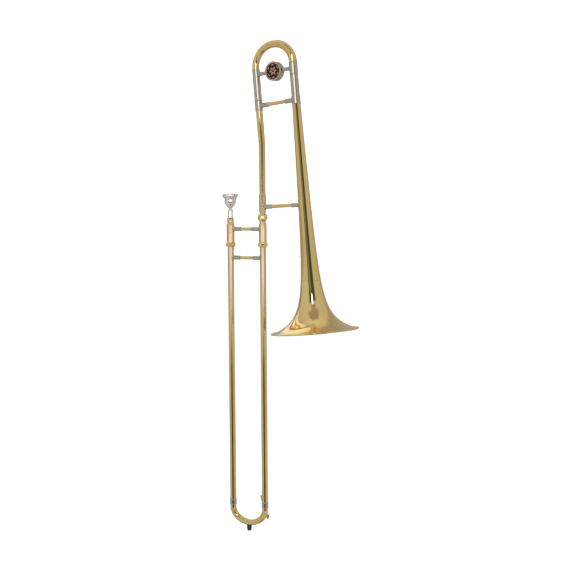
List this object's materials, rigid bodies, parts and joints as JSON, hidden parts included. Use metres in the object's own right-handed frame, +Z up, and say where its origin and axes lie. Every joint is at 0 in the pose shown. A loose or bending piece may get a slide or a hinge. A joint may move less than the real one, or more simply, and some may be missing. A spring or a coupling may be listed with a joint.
{
  "type": "tenor trombone",
  "caption": "Straight tenor trombone with a telescoping hand slide, a flared bell, a tuning slide with a round counterweight, a water key and a removable mouthpiece.",
  "frame": {"origin": "middle of the hand-grip brace, between the two tubes of the hand slide", "axes": "+X along the grip brace from the mouthpiece tube to the bell-side tube; +Z up along the slide tubes towards the tuning slide; the slide lies in the XZ plane"},
  "size_m": [0.3464, 0.2032, 1.1538],
  "materials": {
    "lacquered_brass": "clear-lacquered yellow brass, polished",
    "polished_brass": "bright polished brass",
    "nickel_silver": "polished nickel silver with a warm grey tone",
    "silver_plate": "mirror-bright silver plate",
    "chrome_tube": "hard chrome plate",
    "cork": "natural cork",
    "black_rubber": "matt black rubber",
    "spring_steel": "blued steel",
    "copper": "polished copper",
    "black_enamel": "glossy black enamel"
  },
  "bodies": {
    "inner_slide": {"mouthpiece_receiver": "polished_brass", "leadpipe": "lacquered_brass", "inner_tube_mouthpiece_side": "chrome_tube", "inner_tube_bell_side": "chrome_tube", "stockings": "chrome_tube", "cork_barrel_mouthpiece_side": "polished_brass", "cork_barrel_bell_side": "polished_brass", "cork_bumpers": "cork", "grip_brace_tube": "lacquered_brass", "grip_brace_sockets": "nickel_silver", "bell_receiver": "polished_brass"},
    "mouthpiece": {"mouthpiece": "silver_plate"},
    "slide_lock_ring": {"slide_lock_ring": "polished_brass"},
    "outer_slide": {"outer_tube_mouthpiece_side": "lacquered_brass", "outer_tube_bell_side": "lacquered_brass", "outer_end_rings": "nickel_silver", "outer_brace_tube": "lacquered_brass", "outer_brace_sockets": "nickel_silver", "outer_brace_flanges": "lacquered_brass", "bow_ferrules": "nickel_silver", "slide_bow": "lacquered_brass", "lock_pin": "polished_brass", "bumper_stud": "nickel_silver", "rubber_bumper": "black_rubber", "water_key_saddle": "nickel_silver", "water_key_nipple": "polished_brass", "water_key_screw": "spring_steel", "water_key_spring": "spring_steel"},
    "water_key": {"water_key_lever": "nickel_silver", "water_key_cork": "cork"},
    "bell_section": {"bell_tenon": "nickel_silver", "neckpipe": "lacquered_brass", "neckpipe_ring": "lacquered_brass", "neckpipe_sleeve": "lacquered_brass", "neck_ferrule": "nickel_silver", "neck_slide_leg": "nickel_silver", "lower_brace_tube": "lacquered_brass", "lower_brace_sockets": "nickel_silver", "bell_flange": "lacquered_brass", "upper_brace_tube": "lacquered_brass", "upper_brace_sockets": "nickel_silver", "bell_ferrule": "nickel_silver", "bell_sleeve": "nickel_silver", "bell": "lacquered_brass", "bell_rim_wire": "lacquered_brass"},
    "bell_lock_nut": {"bell_lock_nut": "polished_brass"},
    "tuning_slide": {"tuning_crook": "lacquered_brass", "crook_sleeve": "nickel_silver", "crook_ferrule": "nickel_silver", "crook_slide_leg": "nickel_silver", "tuning_brace": "nickel_silver", "counterweight": "nickel_silver", "weight_ring": "copper", "weight_face": "black_enamel"}
  },
  "joints": [
    {"name": "slide_travel", "type": "slide", "parent": "inner_slide", "child": "outer_slide", "axis": [0, 0, -1], "range_m": [-0.008, 0.57]},
    {"name": "slide_lock_turn", "type": "hinge", "parent": "inner_slide", "child": "slide_lock_ring", "pos_m": [-0.0425, 0, -0.0365], "axis": [0, 0, 1], "range_deg": [0, 30]},
    {"name": "mouthpiece_pull", "type": "slide", "parent": "inner_slide", "child": "mouthpiece", "axis": [0, 0, 1], "range_m": [0, 0.03]},
    {"name": "bell_section_turn", "type": "hinge", "parent": "inner_slide", "child": "bell_section", "pos_m": [0.0425, 0, 0.02], "axis": [0, 0, 1], "range_deg": [-110, 90]},
    {"name": "bell_lock_turn", "type": "hinge", "parent": "bell_section", "child": "bell_lock_nut", "pos_m": [0.0425, 0, 0.0276], "axis": [0, 0, 1], "range_deg": [0, 540]},
    {"name": "tuning_slide_travel", "type": "slide", "parent": "bell_section", "child": "tuning_slide", "axis": [-0.0896, 0.0137, 0.9959], "range_m": [0, 0.05]},
    {"name": "water_key_press", "type": "hinge", "parent": "outer_slide", "child": "water_key", "pos_m": [0.0397, 0.0116, -0.659], "axis": [1, 0, 0], "range_deg": [0, 15], "stiffness_Nm_per_rad": 0.03, "springref_deg": -28.65}
  ]
}
